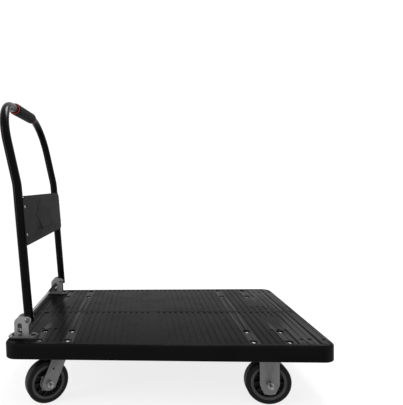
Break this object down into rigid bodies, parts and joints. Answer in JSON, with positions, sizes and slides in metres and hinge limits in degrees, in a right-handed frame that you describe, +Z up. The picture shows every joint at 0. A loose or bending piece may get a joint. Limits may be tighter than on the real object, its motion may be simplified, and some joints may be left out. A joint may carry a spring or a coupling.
{
  "type": "folding platform cart",
  "caption": "Platform hand cart with a ribbed moulded deck, rigid and swivel casters and a steel handle that folds flat over the deck.",
  "frame": {"origin": "on the floor, at the centre of the cart's bounding box", "axes": "+Z up, +X towards the front of the deck, away from the handle, +Y to the pusher's left"},
  "size_m": [0.9231, 0.6, 0.9],
  "materials": {
    "deck_plastic": "black moulded plastic with a low sheen",
    "handle_paint": "gloss black powder coat",
    "grip_foam": "soft black rubber",
    "ring_red": "dark red plastic",
    "panel_plastic": "black plastic with a fine grain",
    "tread": "black rubber",
    "wheel_core": "dark grey moulded nylon",
    "guard_plastic": "grey plastic",
    "nylon": "black nylon",
    "bearing_steel": "ground steel",
    "spring_steel": "zinc-plated wire",
    "zinc_steel": "bright zinc plate on pressed steel",
    "black_steel": "blackened steel",
    "fastener_steel": "bright zinc plate"
  },
  "bodies": {
    "deck": {"axle_bolts_front": "fastener_steel", "axle_nuts_front": "fastener_steel", "axle_spacers_front": "bearing_steel", "bracket_bolts": "black_steel", "bracket_nuts": "black_steel", "caster_bolts": "fastener_steel", "caster_nuts": "fastener_steel", "caster_washers": "fastener_steel", "deck_platform": "deck_plastic", "hinge_bracket_left": "zinc_steel", "hinge_bracket_right": "zinc_steel", "hinge_pin_nuts": "fastener_steel", "hinge_pins": "fastener_steel", "kingpin_nuts": "fastener_steel", "kingpins": "fastener_steel", "latch_springs": "spring_steel", "rigid_fork_left": "zinc_steel", "rigid_fork_right": "zinc_steel", "seat_bolts": "fastener_steel", "spring_seats": "nylon", "swivel_balls": "bearing_steel", "swivel_plate_left": "zinc_steel", "swivel_plate_right": "zinc_steel"},
    "handle": {"grip_end_rings": "ring_red", "grip_sleeve": "grip_foam", "handle_panel": "panel_plastic", "handle_tube": "handle_paint", "hinge_bushes": "nylon", "panel_screws": "fastener_steel"},
    "release": {"latch_blocks": "black_steel", "latch_straps": "black_steel", "release_bar": "zinc_steel"},
    "swivel_left": {"axle_bolt_rear_left": "fastener_steel", "axle_nut_rear_left": "fastener_steel", "axle_spacer_rear_left": "bearing_steel", "swivel_fork_left": "zinc_steel"},
    "swivel_right": {"axle_bolt_rear_right": "fastener_steel", "axle_nut_rear_right": "fastener_steel", "axle_spacer_rear_right": "bearing_steel", "swivel_fork_right": "zinc_steel"},
    "wheel_front_left": {"wheel_bearings_front_left": "bearing_steel", "wheel_core_front_left": "wheel_core", "wheel_guards_front_left": "guard_plastic", "wheel_tread_front_left": "tread"},
    "wheel_front_right": {"wheel_bearings_front_right": "bearing_steel", "wheel_core_front_right": "wheel_core", "wheel_guards_front_right": "guard_plastic", "wheel_tread_front_right": "tread"},
    "wheel_rear_left": {"wheel_bearings_rear_left": "bearing_steel", "wheel_core_rear_left": "wheel_core", "wheel_guards_rear_left": "guard_plastic", "wheel_tread_rear_left": "tread"},
    "wheel_rear_right": {"wheel_bearings_rear_right": "bearing_steel", "wheel_core_rear_right": "wheel_core", "wheel_guards_rear_right": "guard_plastic", "wheel_tread_rear_right": "tread"}
  },
  "joints": [
    {"name": "handle_fold", "type": "hinge", "parent": "deck", "child": "handle", "pos_m": [-0.376, 0, 0.244], "axis": [0, 1, 0], "range_deg": [0, 97]},
    {"name": "latch_release", "type": "slide", "parent": "deck", "child": "release", "axis": [0, 0, -1], "range_m": [0, 0.006], "stiffness_N_per_m": 1500, "springref_m": -0.012, "deforming": ["latch_springs"]},
    {"name": "swivel_turn_left", "type": "hinge", "parent": "deck", "child": "swivel_left", "pos_m": [-0.3005, 0.228, 0.15], "axis": [0, 0, 1], "continuous": true},
    {"name": "swivel_turn_right", "type": "hinge", "parent": "deck", "child": "swivel_right", "pos_m": [-0.3005, -0.228, 0.15], "axis": [0, 0, 1], "continuous": true},
    {"name": "wheel_roll_front_left", "type": "hinge", "parent": "deck", "child": "wheel_front_left", "pos_m": [0.3015, 0.228, 0.0625], "axis": [0, 1, 0], "continuous": true},
    {"name": "wheel_roll_front_right", "type": "hinge", "parent": "deck", "child": "wheel_front_right", "pos_m": [0.3015, -0.228, 0.0625], "axis": [0, 1, 0], "continuous": true},
    {"name": "wheel_roll_rear_left", "type": "hinge", "parent": "swivel_left", "child": "wheel_rear_left", "pos_m": [-0.33206, 0.23765, 0.0625], "axis": [0.2924, 0.9563, 0], "continuous": true},
    {"name": "wheel_roll_rear_right", "type": "hinge", "parent": "swivel_right", "child": "wheel_rear_right", "pos_m": [-0.32849, -0.24549, 0.0625], "axis": [-0.5299, 0.848, 0], "continuous": true}
  ]
}
